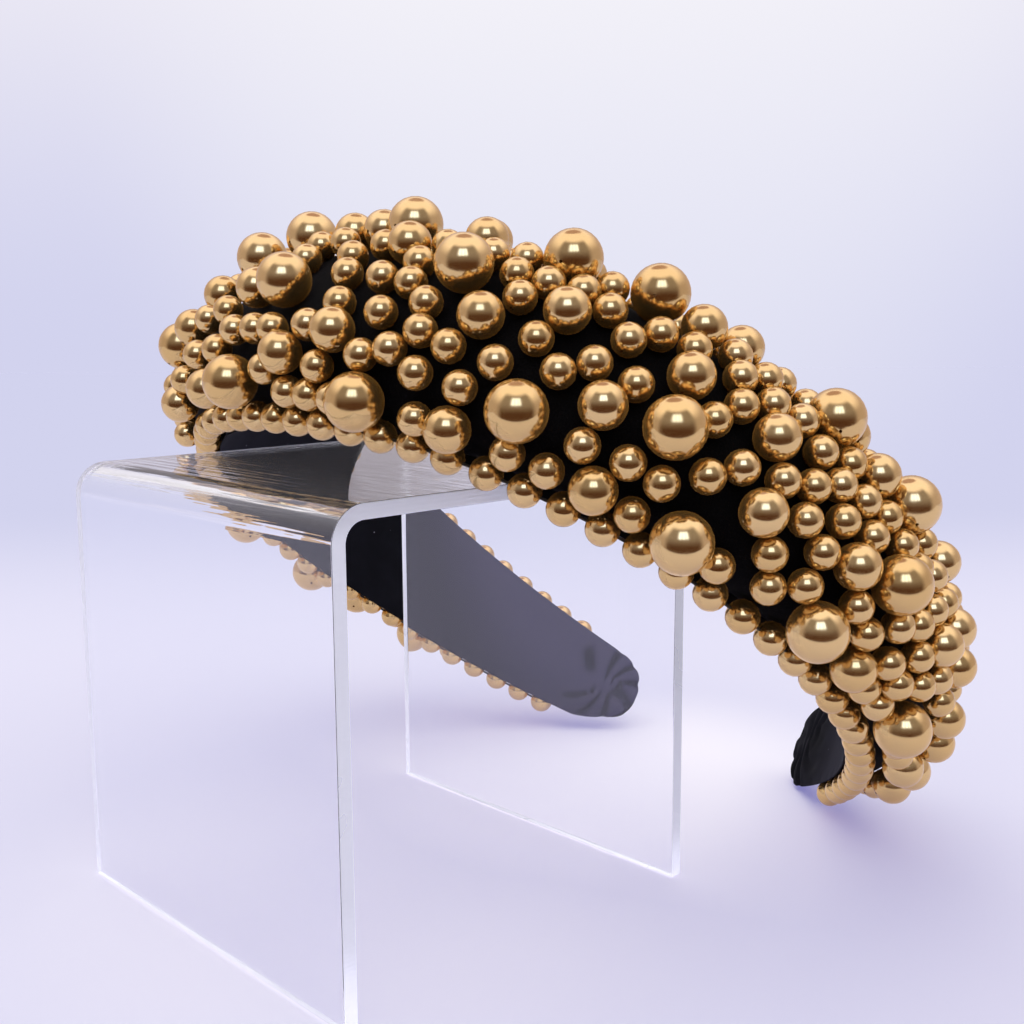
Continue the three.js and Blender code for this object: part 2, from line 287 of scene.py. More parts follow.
def tip_share(length, least=TIP_LEAST):
    """Narrowing of the last stretch: a quarter of a blunt oval that ends at a small share."""
    past = np.maximum(np.abs(length) - (HALF_LENGTH - TIP_ROUND), 0) / TIP_ROUND
    return np.maximum((1 - np.minimum(past, 1) ** TIP_POWER) ** (1 / TIP_POWER), least)


def band_point(length, across, out):
    """Point at a length along the band, a distance across it and a height out from its inner face."""
    length, across, out = np.broadcast_arrays(length, across, out)
    arm = np.where(length < 0, 1.0, -1.0)
    line_along, line_side, turn = inner_line(np.abs(length))
    lean = out - across * math.sin(BAND_FLARE)
    along = line_along - np.cos(turn) * lean
    side = (line_side + np.sin(turn) * lean) * arm
    up = across * math.cos(BAND_FLARE)
    return CROWN_POINT + along[..., None] * BAND_ALONG + side[..., None] * BAND_SIDE + up[..., None] * BAND_UP


def signed_power(value, power):
    """A power of a value's size, with the value's sign."""
    return np.sign(value) * np.abs(value) ** power


def dome_point(length, share, lift, least=DOME_LEAST):
    """Point over the padded dome, a section with powers of sine and cosine, lifted along its normal."""
    round_off = tip_share(length, least)
    half = (band_width(length) / 2 - BEAD_RADIUS["S"] - SEAM) * round_off
    rise = (band_height(length) - PAD_BASE) * round_off
    sine = np.sin(share * math.pi / 2)
    cosine = np.maximum(np.cos(share * math.pi / 2), 0)
    across_normal = signed_power(sine, 2 - DOME_POWER) / half
    out_normal = cosine ** (2 - DOME_POWER) / rise
    norm = np.hypot(across_normal, out_normal)
    across = half * signed_power(sine, DOME_POWER) + lift * across_normal / norm
    out = PAD_BASE + rise * cosine ** DOME_POWER + lift * out_normal / norm
    return band_point(length, across, out)


def edge_point(length, edge):
    """Middle of an edge string: half the width out to that edge, at the string's height."""
    return band_point(length, edge * band_width(length) / 2, EDGE_LIFT)


# Places of the sewn beads

def charted_beads():
    """The chart's beads as (size, length, across) rows, lengths in metres."""
    return [(token[0], float(token[1:]) * CHART_UNIT, across)
            for across, beads in CHART for token in beads.split()]


def repeated_beads(charted):
    """The chart's repeats over the back and down both arms, the larger beads first."""
    parts = {
        "front": [bead for bead in charted if bead[2] < FRONT_SHARE],
        "arm": [bead for bead in charted if bead[1] > ARM_START],
    }
    repeats = [(size, each["run"] * length + each["start"], each["slope"] * across)
               for each in REPEATS for size, length, across in parts[each["part"]]]
    return sorted(repeats, key=lambda bead: ("LMS".index(bead[0]), bead[1], bead[2]))


def may_repeat(size, length, across):
    """Whether a repeated bead may be sewn on: small ones all along, larger ones where there is room."""
    on_band = abs(length) <= HALF_LENGTH - SEWN_STOP + TINY
    on_far_stretch = FAR_STRETCH[0] < length < FAR_STRETCH[1]
    on_back_slope = across > BACK_SHARE and (size == "M" or length < BACK_LARGE_END)
    return on_band and (size == "S" or on_far_stretch or on_back_slope)


def bead_centres(radii, lengths, across):
    """Middles of beads that sit on the dome a seam away from it."""
    return dome_point(lengths, across, radii + SEAM)


def sewn_beads():
    """Radii, lengths and shares across of the sewn beads: the chart and the repeats that fit, settled."""
    beads = charted_beads()
    for size, length, across in repeated_beads(beads):
        if not may_repeat(size, length, across):
            continue
        radii = np.array([BEAD_RADIUS[bead[0]] for bead in beads])
        centres = bead_centres(radii, *np.array([bead[1:] for bead in beads]).T)
        centre = bead_centres(BEAD_RADIUS[size], np.array(length), np.array(across))
        gaps = np.linalg.norm(centres - centre, axis=1)
        if np.all(gaps >= FIT_SHARE * (BEAD_RADIUS[size] + radii)):
            beads.append((size, length, across))
    radii = np.array([BEAD_RADIUS[bead[0]] for bead in beads])
    lengths, across = np.array([bead[1:] for bead in beads]).T
    return (radii, *settled(radii, lengths, across))


def settled(radii, lengths, across):
    """Beads that press on one another or on an edge string move apart over the dome, step by step."""
    small_length, small_share = 0.00001, 0.01
    reach = radii[:, None] + radii[None, :] + SETTLE_GAP
    np.fill_diagonal(reach, 0)
    for _ in range(SETTLE_STEPS):
        centres = bead_centres(radii, lengths, across)
        apart = centres[:, None] - centres[None, :]
        gap = np.linalg.norm(apart, axis=2)
        press = np.maximum(reach - gap, 0) / 2
        shift = (apart * (press / np.maximum(gap, TINY))[..., None]).sum(axis=1)
        away = centres - edge_point(lengths, np.sign(across))
        away_gap = np.linalg.norm(away, axis=1)
        crowd = np.maximum(radii + BEAD_RADIUS["S"] + SEAM + SETTLE_GAP - away_gap, 0)
        shift += away * (crowd / away_gap)[:, None]
        onward = (bead_centres(radii, lengths + small_length, across) - centres) / small_length
        upward = (bead_centres(radii, lengths, across + small_share) - centres) / small_share
        lengths = lengths + SETTLE_PACE * (shift * onward).sum(1) / (onward * onward).sum(1)
        across = across + SETTLE_PACE * (shift * upward).sum(1) / (upward * upward).sum(1)
    return lengths, across


SEWN_RADII, SEWN_LENGTHS, SEWN_ACROSS = sewn_beads()


# Meshes from arrays

def grid_quads(rows, columns, wrap_rows=False):
    """Quads of a grid of points whose columns close on themselves, and its rows too if asked."""
    row = np.arange(rows if wrap_rows else rows - 1)[:, None]
    column = np.arange(columns)[None, :]
    after, beside = (row + 1) % rows, (column + 1) % columns
    here, there = row * columns, after * columns
    corners = [here + column, here + beside, there + beside, there + column]
    return np.stack(np.broadcast_arrays(*corners), axis=-1).reshape(-1, 4)


def outward(points, quads):
    """The quads, turned over if the volume that they close is negative."""
    a, b, c, d = (points[quads[:, i]] for i in range(4))
    volume = (a * (np.cross(b, c) + np.cross(c, d))).sum()
    return quads if volume > 0 else quads[:, ::-1]


def make_piece(name, points, quads, caps=(), sharp=None, tone_or_shade=None):
    """One smooth mesh object at the origin from its points, quads and end caps, with a tone or a painted
    shade for each point if given.
    """
    mesh = bpy.data.meshes.new(name)
    turned = outward(points, quads)
    flipped = turned is not quads
    ends = [list(cap)[::-1] if flipped else list(cap) for cap in caps]
    mesh.from_pydata(points.tolist(), [], turned.tolist() + ends)
    mesh.shade_smooth()
    if sharp is not None:
        mesh.set_sharp_from_angle(angle=sharp)
    if tone_or_shade is not None:
        mesh.attributes.new("tone_or_shade", "FLOAT", "POINT").data.foreach_set("value", tone_or_shade.astype(np.float32))
    if mesh.validate():
        raise RuntimeError(f"{name}: the mesh had faults")
    mesh.update()
    piece = bpy.data.objects.new(name, mesh)
    bpy.context.scene.collection.objects.link(piece)
    return piece


def finish_piece(piece, material, slot, *nodes):
    """Gives a piece its material, rides it on the only body and lets it stand for its solids; the slot is not
    used.
    """
    piece.data.materials.append(material)
    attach(piece, "root")
    if nodes:
        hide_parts(*nodes)


def smooth_step(value, start, end):
    """Rises from 0 at start to 1 at end with level ends."""
    share = np.clip((value - start) / (end - start), 0, 1)
    return share * share * (3 - 2 * share)


# Pieces of cloth

PAD_STATIONS = 361
DOME_POINTS = 53
UNDER_POINTS = 20
SHARE_POWER = 1.25
PRESS_SPREAD = 0.55
HELD_POWER = 0.5
HELD_END = (0.196, 0.206)
PAD_OVERLAP = 0.0001


def stations(count):
    """Lengths along the band, closer together towards the tips: the half length times a sine."""
    return HALF_LENGTH * np.sin(np.linspace(-1, 1, count) * math.pi / 2)


def sewn_press(points):
    """How hard each point is held down by the beads sewn near it: a sum of bells as wide as half a bead."""
    feet = dome_point(SEWN_LENGTHS, SEWN_ACROSS, 0.0)
    press = np.zeros(points.shape[:-1])
    for foot, radius in zip(feet, SEWN_RADII):
        square = ((points - foot) ** 2).sum(-1)
        press += np.exp(-square / (2 * (PRESS_SPREAD * radius) ** 2))
    return np.minimum(press, 1)


# Tips of the cloth: the folds that fan out round the middle of each, and the changes of its outline
TIP_MIDDLE = HALF_LENGTH - 0.0095
TIP_RUN = (-0.005, 0.003)
FOLDS = 9
FOLD_SWAY = 1.4
FOLD_TURN = 40
FOLD_CURL = 250
FOLD_POWER = 2.5
FOLD_START = (0.0008, 0.004)
FOLD_END = (0.009, 0.015)
FOLD_NOTCH = 0.05
NEAR_SWELL = 0.12
SWELL_RUN = (-0.002, 0.006)
FAR_TRIM = 0.16
TRIM_RUN = (0.0, 0.007)


def gathers(length, across):
    """Depth from 0 to 1 of the folds round the middle of each tip: narrow valleys of a wave of the angle."""
    ahead = np.abs(length) - TIP_MIDDLE
    angle = np.arctan2(across, ahead)
    reach = np.hypot(across, ahead)
    sway = FOLD_SWAY * np.sin(2 * angle + FOLD_TURN * length)
    wave = 0.5 + 0.5 * np.cos(FOLDS * angle + sway + FOLD_CURL * reach)
    return wave ** FOLD_POWER * smooth_step(reach, *FOLD_START) * (1 - smooth_step(reach, *FOLD_END))


def notched(length, across, folds):
    """Lengths and distances across at the tips: the near one swells to the back, the far one is trimmed.

    Both are drawn in where a fold meets the outline.
    """
    ahead = np.abs(length) - TIP_MIDDLE
    near_end = smooth_step(ahead, *TIP_RUN)
    swell = NEAR_SWELL * (length > 0) * smooth_step(across, *SWELL_RUN)
    trim = FAR_TRIM * (length < 0) * smooth_step(-across, *TRIM_RUN)
    kept = 1 + near_end * (swell - trim - FOLD_NOTCH * folds)
    return np.sign(length) * (TIP_MIDDLE + ahead * kept), across * kept


def pad_points(bulge, gather):
    """Rings of the padding: the dome from back to front, swollen between the beads, and a flat under side,
    with painted shade in the folds at the tips.
    """
    length = stations(PAD_STATIONS)[:, None]
    even = np.linspace(1, -1, DOME_POINTS)[None, :]
    share = signed_power(even, SHARE_POWER)
    bare = dome_point(length, share, 0.0, TIP_LEAST)
    held = np.cos(share * math.pi / 2) ** HELD_POWER * (1 - smooth_step(np.abs(length), *HELD_END))
    half = (band_width(length) / 2 - BEAD_RADIUS["S"] - SEAM) * tip_share(length)
    folds = gathers(length, half * share)
    lift = bulge * (1 - sewn_press(bare)) * held - gather * folds
    dome = dome_point(length, share, lift, TIP_LEAST)
    under_share = np.linspace(-1, 1, UNDER_POINTS + 2)[None, 1:-1]
    under = band_point(length, half * under_share, LINING_THICK - PAD_OVERLAP)
    # The depth of the folds goes out as painted shade in them
    return np.concatenate([dome, under], axis=1), np.pad(folds, ((0, 0), (0, UNDER_POINTS)))


# Lining: its section, hems, puckered edges and puffed tips, the painted shade over its near tip, and the
# stretch where it is drawn in
LINING_SIDES = 72
ACROSS_POWER = 0.5
OUT_POWER = 0.35
INNER_RUN = (0.2, 0.9)
HEM_SHARE = 0.4
HEM_WIDTH = 0.0034
PUCKER_DEPTH = 0.00012
PUCKER_PITCH = 0.0065
PUCKER_RUN = (0.75, 0.98)
TIP_PUFF = 0.0013
PUFF_POWER = 4
PUFF_RUN = (HALF_LENGTH - 0.030, HALF_LENGTH - 0.014)
NEAR_TIP_SHADE = 0.7
DRAWN_IN = 0.0015
DRAWN_START = (0.0, 0.030)
DRAWN_END = (0.110, 0.150)


def lining_points(gather):
    """Rings of the lining: a flat section with thin puckered hems, puffed and gathered at the tips, with
    painted shade in the folds and over the near tip.

    Along the near shoulder it is drawn in under the padding, so that the strings hang free of it.
    """
    length = stations(PAD_STATIONS)[:, None]
    angle = np.linspace(0, 2 * math.pi, LINING_SIDES, endpoint=False)[None, :]
    across_share = signed_power(np.cos(angle), ACROSS_POWER)
    out_share = signed_power(np.sin(angle), OUT_POWER)
    drawn = DRAWN_IN * smooth_step(length, *DRAWN_START) * (1 - smooth_step(length, *DRAWN_END))
    half = (band_width(length) / 2 - LINING_INSET - drawn) * tip_share(length)
    inner = smooth_step(-out_share, *INNER_RUN)
    folds = gathers(length, half * across_share)
    wave = PUCKER_DEPTH * np.sin(2 * math.pi * length / PUCKER_PITCH)
    pucker = wave * smooth_step(np.abs(across_share), *PUCKER_RUN)
    hem = HEM_SHARE + (1 - HEM_SHARE) * smooth_step(half * (1 - np.abs(across_share)), 0, HEM_WIDTH)
    near_tip = smooth_step(np.abs(length), *PUFF_RUN)
    puff = TIP_PUFF * near_tip * (1 - across_share ** PUFF_POWER) * tip_share(length)
    top = LINING_THICK / 2 * (1 + out_share) * hem * (0.5 + 0.5 * tip_share(length))
    out = top + inner * (np.maximum(pucker, 0) + gather * folds - puff)
    # Painted shade: the folds, and the whole near tip, darken the cloth
    tone_or_shade = np.maximum(folds, NEAR_TIP_SHADE * near_tip * (length > 0)) * inner
    return band_point(*notched(length, half * across_share, folds), out), tone_or_shade


def ring_piece(name, rings, tone_or_shade=None):
    """A closed skin over rings of points, with a flat cap at each end and a painted shade for each point if
    given.
    """
    rows, columns = rings.shape[:2]
    first, last = range(columns)[::-1], range((rows - 1) * columns, rows * columns)
    shade = None if tone_or_shade is None else tone_or_shade.reshape(-1)
    return make_piece(name, rings.reshape(-1, 3), grid_quads(rows, columns), (first, last), tone_or_shade=shade)


# Beads

BEAD_SIDES = {"L": 30, "M": 26, "S": 20}
BEAD_RINGS = {"L": 18, "M": 16, "S": 12}
WALL_SHARE = 0.6
RIM_ANGLE = math.radians(50)

# Seeds of the strings' spread and of the sewn beads' tones, counted on from the seed that is set
SPREAD_SEED = 10
LARGE_SEED = 20
SMALL_SEED = 30


def drilled_ball(radius, hole, sides, rings):
    """A drilled ball about Z: arcs from rim to rim of the hole, closed by the hole's wall."""
    rim = math.asin(hole / radius)
    polar = np.linspace(rim, math.pi - rim, rings)
    reach = np.append(radius * np.sin(polar), [hole, hole])
    wall = WALL_SHARE * radius
    height = np.append(radius * np.cos(polar), [-wall, wall])
    turn = np.linspace(0, 2 * math.pi, sides, endpoint=False)
    ball = np.stack([reach[:, None] * np.cos(turn), reach[:, None] * np.sin(turn),
                     np.broadcast_to(height[:, None], (rings + 2, sides))], axis=-1)
    return ball.reshape(-1, 3), grid_quads(rings + 2, sides, wrap_rows=True)


def bead_frames(axes, hints):
    """Turns that bring Z to each bead's hole axis: two unit vectors square to it and the axis itself."""
    axis = axes / np.linalg.norm(axes, axis=1, keepdims=True)
    first = np.cross(hints, axis)
    first /= np.linalg.norm(first, axis=1, keepdims=True)
    return np.stack([first, np.cross(axis, first), axis], axis=-1)


def bead_arrays(size, centres, frames, hole):
    """Points and quads of copies of one drilled ball, each turned by its frame and moved to its middle."""
    ball, quads = drilled_ball(BEAD_RADIUS[size], hole, BEAD_SIDES[size], BEAD_RINGS[size])
    points = np.einsum("nij,vj->nvi", frames, ball) + centres[:, None]
    shifted = quads[None] + len(ball) * np.arange(len(centres))[:, None, None]
    return points.reshape(-1, 3), shifted.reshape(-1, 4), len(ball)


def sewn_frames(lengths, across, radii):
    """Frames of sewn beads: the hole lies over the dome, across the band."""
    middles = bead_centres(radii, lengths, across)
    small_share, small_lift = 0.01, 0.001
    over = bead_centres(radii, lengths, across + small_share) - middles
    out = dome_point(lengths, across, radii + SEAM + small_lift) - middles
    return middles, bead_frames(over, out)


def bead_piece(name, batches, seed):
    """One joined mesh of several batches of beads, each bead with its own tone."""
    chance = np.random.default_rng(seed)
    points, quads, tones, start = [], [], [], 0
    for batch_points, batch_quads, per_bead in batches:
        points.append(batch_points)
        quads.append(batch_quads + start)
        tones.append(np.repeat(chance.random(len(batch_points) // per_bead), per_bead))
        start += len(batch_points)
    return make_piece(name, np.concatenate(points), np.concatenate(quads),
                      sharp=RIM_ANGLE, tone_or_shade=np.concatenate(tones))


def sewn_batches(sizes, chosen, hole):
    """Batches of sewn beads of the given sizes, out of those chosen."""
    batches = []
    for size in sizes:
        pick = chosen & np.isclose(SEWN_RADII, BEAD_RADIUS[size])
        middles, frames = sewn_frames(SEWN_LENGTHS[pick], SEWN_ACROSS[pick], SEWN_RADII[pick])
        batches.append(bead_arrays(size, middles, frames, hole))
    return batches


def string_path(edge, count=4001):
    """Points and running length of an edge string: along the arms it drops to the thin hem."""
    end = HALF_LENGTH - EDGE_STOP
    length = np.linspace(-end, end, count)
    on_arm = smooth_step(np.abs(length), *STRUNG_DROP_RUN)
    half = band_width(length) / 2 - FAR_TUCK * on_arm * (length < 0)
    path = band_point(length, edge * half, EDGE_LIFT - STRUNG_DROP * on_arm)
    steps = np.linalg.norm(np.diff(path, axis=0), axis=1)
    return path, np.append(0, np.cumsum(steps))


def points_along(places, path, run):
    """Points at the given running lengths of a path."""
    return np.stack([np.interp(places, run, path[:, i]) for i in range(3)], axis=-1)


def string_batch(edge, settings):
    """Beads threaded along an edge string at an even pitch, each a touch off its even place."""
    path, run = string_path(edge)
    radius = BEAD_RADIUS["S"]
    count = int((run[-1] - 2 * radius) / settings.string_pitch) + 1
    chance = np.random.default_rng(settings.seed + SPREAD_SEED + int(edge))
    spread = settings.string_spread * chance.uniform(-1, 1, count)
    places = np.linspace(radius, run[-1] - radius, count) + spread
    small_run = 0.0002
    middles = points_along(places, path, run)
    ahead = points_along(places + small_run, path, run)
    frames = bead_frames(ahead - middles, np.broadcast_to(BAND_UP, middles.shape))
    return bead_arrays("S", middles, frames, settings.hole_radius)


THREAD_RADIUS = 0.0003
THREAD_SIDES = 8
THREAD_STATIONS = 240


def thread_points(edge):
    """Rings of the thread through an edge string: a small circle carried along its path."""
    path, run = string_path(edge)
    places = np.linspace(0, run[-1], THREAD_STATIONS)
    middle = points_along(places, path, run)
    tangent = np.gradient(middle, axis=0)
    frames = bead_frames(tangent, np.broadcast_to(BAND_UP, middle.shape))
    turn = np.linspace(0, 2 * math.pi, THREAD_SIDES, endpoint=False)
    circle = np.stack([np.cos(turn), np.sin(turn), np.zeros_like(turn)], axis=-1) * THREAD_RADIUS
    return np.einsum("nij,vj->nvi", frames, circle) + middle[:, None]


# Riser

BEND_STEPS = 14
LEG_STEPS = 3
BREAK_SEGMENTS = 2
CORNER_ANGLE = math.radians(30)


def riser_line(size, inset, bend):
    """One side of the bent sheet in X and Z: up the front leg, round the bend, over the top and down."""
    half = size / 2
    turn = np.linspace(0, math.pi / 2, BEND_STEPS)
    corner_x, corner_z = half - bend, size - bend
    radius = bend - inset
    leg = np.linspace(0, corner_z, LEG_STEPS, endpoint=False)
    front_leg = np.stack([np.full(LEG_STEPS, -half + inset), leg], axis=-1)
    front_bend = np.stack([-corner_x - radius * np.cos(turn), corner_z + radius * np.sin(turn)], axis=-1)
    front = np.concatenate([front_leg, front_bend])
    back = front[::-1] * np.array([-1.0, 1.0])
    return np.concatenate([front, back])


def riser_arrays(sheet, bend):
    """Points, skin quads and sawn-edge quads of the bent sheet drawn out along Y."""
    size = RISER_HIGH.z - RISER_LOW.z
    outer = riser_line(size, 0.0, bend)
    inner = riser_line(size, sheet, bend)
    loop = np.concatenate([outer, inner[::-1]])
    count, total = len(outer), len(loop)
    ends = [RISER_LOW.y, RISER_HIGH.y]
    rings = [np.stack([loop[:, 0] + PLACE[0], np.full(total, y), loop[:, 1]], axis=-1) for y in ends]
    skin = grid_quads(2, total)
    step = np.arange(count - 1)
    far = np.stack([step, step + 1, total - 2 - step, total - 1 - step], axis=-1)
    near = far[:, ::-1]
    return np.concatenate(rings), skin, np.concatenate([near, far + total]), count


# Materials

WHITE = (1.0, 1.0, 1.0, 1.0)


def put(tree, kind, settings=None, inputs=None):
    """Adds a node with its settings; an input is a value or the socket of an earlier node."""
    made = tree.nodes.new(kind)
    for key, value in (settings or {}).items():
        setattr(made, key, value)
    for key, value in (inputs or {}).items():
        if isinstance(value, bpy.types.NodeSocket):
            tree.links.new(value, made.inputs[key])
        else:
            made.inputs[key].default_value = value
    return made


def calculate(tree, operation, *values):
    """A maths node's result."""
    return put(tree, "ShaderNodeMath", {"operation": operation}, dict(enumerate(values))).outputs[0]


def measure(tree, operation, first, second):
    """A number from two vectors: their dot product or their distance."""
    return put(tree, "ShaderNodeVectorMath", {"operation": operation},
               {0: first, 1: second}).outputs["Value"]


def blend_colours(tree, factor, first, second, blend="MIX"):
    """Two colours blended by a factor, in the way that is named."""
    return put(tree, "ShaderNodeMix", {"data_type": "RGBA", "blend_type": blend},
               {0: factor, 6: first, 7: second}).outputs[2]


def spread_range(tree, value, span, to=(0.0, 1.0)):
    """A value spread smoothly from one range to another."""
    return put(tree, "ShaderNodeMapRange", {"interpolation_type": "SMOOTHSTEP"},
               dict(enumerate((value, *span, *to)))).outputs[0]


def within(tree, value, span, soft):
    """One where a value lies between two bounds, with soft edges."""
    rise = spread_range(tree, value, (span[0] - soft, span[0] + soft))
    fall = spread_range(tree, value, (span[1] - soft, span[1] + soft), (1.0, 0.0))
    return calculate(tree, "MULTIPLY", rise, fall)


def new_material(name, **fixed):
    """A material with some of its shader's inputs set; returns it, its tree and its shader."""
    material = bpy.data.materials.new(name)
    material.use_nodes = True
    tree = material.node_tree
    shader = tree.nodes["Principled BSDF"]
    for key, value in fixed.items():
        shader.inputs[key.replace("_", " ")].default_value = value
    return material, tree, shader


def join(shader, **sockets):
    """Links sockets to a shader's inputs, named with underscores for spaces."""
    for key, socket in sockets.items():
        shader.id_data.links.new(socket, shader.inputs[key.replace("_", " ")])


def colour(values):
    """A colour's three numbers as the four that a socket takes."""
    return (*values, 1.0)


def object_place(tree):
    """Object coordinates."""
    return put(tree, "ShaderNodeTexCoord").outputs["Object"]


def height_of(tree, vector):
    """The height in a vector."""
    return put(tree, "ShaderNodeSeparateXYZ", None, {0: vector}).outputs[2]


def stretched(tree, place, scale):
    """Coordinates scaled along each axis."""
    return put(tree, "ShaderNodeMapping", None, {"Vector": place, "Scale": scale}).outputs[0]


def tone_of(tree):
    """The tone of each bead, or the painted shade of the cloth, that a piece's points carry."""
    return put(tree, "ShaderNodeAttribute", {"attribute_name": "tone_or_shade"}).outputs["Fac"]


def noise(tree, place, scale, detail=2.0, roughness=0.5):
    """Noise at a scale in waves to the metre."""
    return put(tree, "ShaderNodeTexNoise", None,
               {"Vector": place, "Scale": scale, "Detail": detail, "Roughness": roughness}).outputs["Fac"]


def bump(tree, height, strength, distance):
    """A bump from a height."""
    return put(tree, "ShaderNodeBump", None,
               {"Height": height, "Strength": strength, "Distance": distance}).outputs["Normal"]


def gold_material(settings):
    """Mirror-bright gold plating: a tone for each bead and a little haze."""
    material, tree, shader = new_material(
        "polished_gold", Metallic=0.96, Sheen_Weight=0.48, Sheen_Roughness=0.5,
        Sheen_Tint=colour((1.0, 0.48, 0.10)))
    haze = noise(tree, object_place(tree), scale=420.0, detail=3.0)
    plating = blend_colours(tree, tone_of(tree), colour(settings.gold_deep), colour(settings.gold))
    join(shader, Base_Color=plating,
         Roughness=spread_range(tree, haze, span=(0.35, 0.75), to=(0.13, 0.19)))
    return material


# Painted shade in the folds of the cloth by their depth, and the share of the light that is left in the
# deepest
FOLD_SHADE_RUN = (0.0, 0.8)
FOLD_SHADE_LEFT = 0.1


def fold_shade(tree, weight):
    """A weight that falls away in the folds of the cloth: painted shade."""
    return spread_range(tree, tone_of(tree), FOLD_SHADE_RUN, (weight, FOLD_SHADE_LEFT * weight))


# How many times lighter the pile and the nap are where they catch the light
PILE_LIFT = 4.0
NAP_LIFT = 2.2


def velvet_material(settings):
    """Short black pile: nearly no colour of its own, a soft blue-grey sheen that painted shade dims in the
    folds, and a fine ruffle.
    """
    material, tree, shader = new_material(
        "black_velvet", Roughness=0.95, Sheen_Roughness=0.35,
        Sheen_Tint=colour((0.40, 0.38, 0.45)), Specular_IOR_Level=0.05)
    place = object_place(tree)
    pile = noise(tree, place, scale=2600.0, detail=3.0, roughness=0.7)
    brushed = noise(tree, place, scale=110.0)
    shade = calculate(tree, "MULTIPLY", spread_range(tree, pile, span=(0.35, 0.7), to=(0.3, 1.0)),
                      spread_range(tree, brushed, span=(0.3, 0.7), to=(0.4, 1.0)))
    light = [PILE_LIFT * value for value in settings.velvet]
    join(shader, Base_Color=blend_colours(tree, shade, colour(settings.velvet), colour(light)),
         Sheen_Weight=fold_shade(tree, weight=0.10),
         Normal=bump(tree, pile, strength=0.7, distance=0.0003))
    return material


# Way along which the painted light on the lining runs, the stretch along it where the far arm turns light
# with painted light, and the lint
PAINTED_LIGHT_WAY = (1.0, 0.6, 0.0)
PAINTED_LIGHT_RUN = (0.077, 0.094)
LINT = (0.25, 0.25, 0.30, 1.0)
LINT_LEAST = 0.45


def lining_material(settings):
    """Flat brushed lining: a fine nap drawn out along the arms over a soft mottle, with specks of lint, and
    painted light that lightens the far arm towards its tip.
    """
    material, tree, shader = new_material(
        "charcoal_lining", Roughness=0.85, Sheen_Roughness=0.5,
        Sheen_Tint=colour((0.6, 0.57, 0.85)), Specular_IOR_Level=0.1)
    place = object_place(tree)
    drawn = stretched(tree, place, scale=(0.35, 1.0, 0.35))
    nap = noise(tree, drawn, scale=1500.0, detail=3.0, roughness=0.6)
    mottle = noise(tree, place, scale=90.0, detail=3.0, roughness=0.55)
    shade = calculate(tree, "MULTIPLY", spread_range(tree, nap, span=(0.25, 0.75), to=(0.8, 1.0)),
                      spread_range(tree, mottle, span=(0.3, 0.7), to=(0.1, 1.0)))
    light = [NAP_LIFT * value for value in settings.lining]
    cloth = blend_colours(tree, shade, colour(settings.lining), colour(light))
    # Painted light: the far arm lightens towards its tip along this way, less in the folds, which keep their
    # painted shade
    onward = measure(tree, "DOT_PRODUCT", place, PAINTED_LIGHT_WAY)
    painted_light = calculate(tree, "MULTIPLY", spread_range(tree, onward, PAINTED_LIGHT_RUN), fold_shade(tree, weight=1.0))
    cloth = blend_colours(tree, painted_light, cloth, colour(settings.painted_lining_light))
    spots = put(tree, "ShaderNodeTexVoronoi", None, {"Vector": place, "Scale": 300.0}).outputs
    chosen = calculate(tree, "GREATER_THAN", spots["Color"], LINT_LEAST)
    speck = calculate(tree, "MULTIPLY", chosen,
                      spread_range(tree, spots["Distance"], span=(0.03, 0.07), to=(1.0, 0.0)))
    join(shader, Base_Color=blend_colours(tree, speck, cloth, LINT),
         Sheen_Weight=fold_shade(tree, weight=0.042),
         Normal=bump(tree, nap, strength=0.006, distance=0.00005))
    return material


def thread_material():
    """Dark nylon thread with a fine twist."""
    material, tree, shader = new_material("sewing_thread", Roughness=0.5)
    twist = put(tree, "ShaderNodeTexWave", {"bands_direction": "DIAGONAL"},
                {"Vector": object_place(tree), "Scale": 900.0}).outputs["Fac"]
    dark, light = colour((0.01, 0.008, 0.006)), colour((0.04, 0.03, 0.02))
    join(shader, Base_Color=blend_colours(tree, twist, dark, light))
    return material


# Clear sheet: how strongly it bends light, the width over which the ripples of its bends fade, and the
# share of the painted glow of its sawn edges that is left at their top
SHEET_IOR = 1.49
RIPPLE_FADE = 0.0006
TOP_GLOW_SHARE = 0.3


def acrylic_material(settings):
    """Clear polished sheet: faint hairline marks, a film of dust and ripples drawn out along its bends."""
    material, tree, shader = new_material(
        "clear_acrylic", Base_Color=colour(settings.tint), IOR=SHEET_IOR, Transmission_Weight=0.99,
        Specular_Tint=colour((0.87, 0.84, 1.0)), Sheen_Weight=0.16, Sheen_Roughness=0.3,
        Sheen_Tint=colour((1.0, 0.92, 0.95)))
    place = object_place(tree)
    scratched = stretched(tree, place, scale=(30.0, 400.0, 60.0))
    marks = noise(tree, scratched, scale=6.0, detail=4.0, roughness=0.65)
    bend_span = (RISER_HIGH.z - settings.bend, RISER_HIGH.z - RIPPLE_FADE)
    on_bend = within(tree, height_of(tree, place), bend_span, RIPPLE_FADE)
    drawn = stretched(tree, place, scale=(1.0, 0.03, 1.0))
    ripple = calculate(tree, "MULTIPLY", on_bend, noise(tree, drawn, scale=700.0, roughness=0.6))
    join(shader, Roughness=spread_range(tree, marks, span=(0.62, 0.80), to=(0.0, 0.05)),
         Normal=bump(tree, ripple, strength=0.25, distance=0.0003))
    return material


